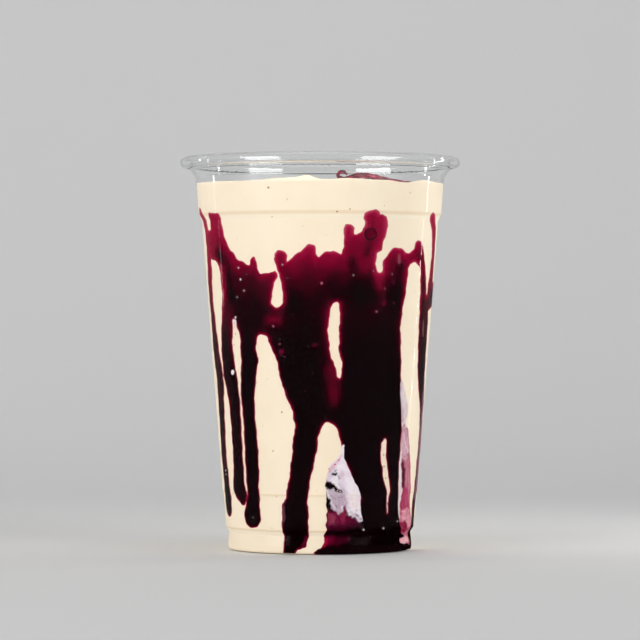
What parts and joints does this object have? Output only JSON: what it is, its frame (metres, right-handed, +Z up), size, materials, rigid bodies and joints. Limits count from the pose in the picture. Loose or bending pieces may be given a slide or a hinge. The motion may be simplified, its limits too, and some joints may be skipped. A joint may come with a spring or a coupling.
{
  "type": "milkshake in a clear plastic cup",
  "caption": "Vanilla milkshake with berry sauce runs in an open, clear, tapered plastic cold-drink cup with a rolled rim.",
  "frame": {"origin": "middle of the ring that the cup stands on, on the table", "axes": "+Z up along the cup's axis, -Y to the front, where the berry sauce shows best"},
  "size_m": [0.098, 0.098, 0.137],
  "materials": {
    "clear_plastic": "clear, glossy formed sheet",
    "milkshake": "smooth, creamy, wet",
    "berry_sauce": "dark, glossy, clear at thin edges"
  },
  "bodies": {
    "root": {"cup": "clear_plastic", "milkshake": "milkshake", "berry_sauce": "berry_sauce", "top_drizzle": "berry_sauce", "froth_lump": "milkshake", "rose_smear": "milkshake"}
  },
  "joints": []
}
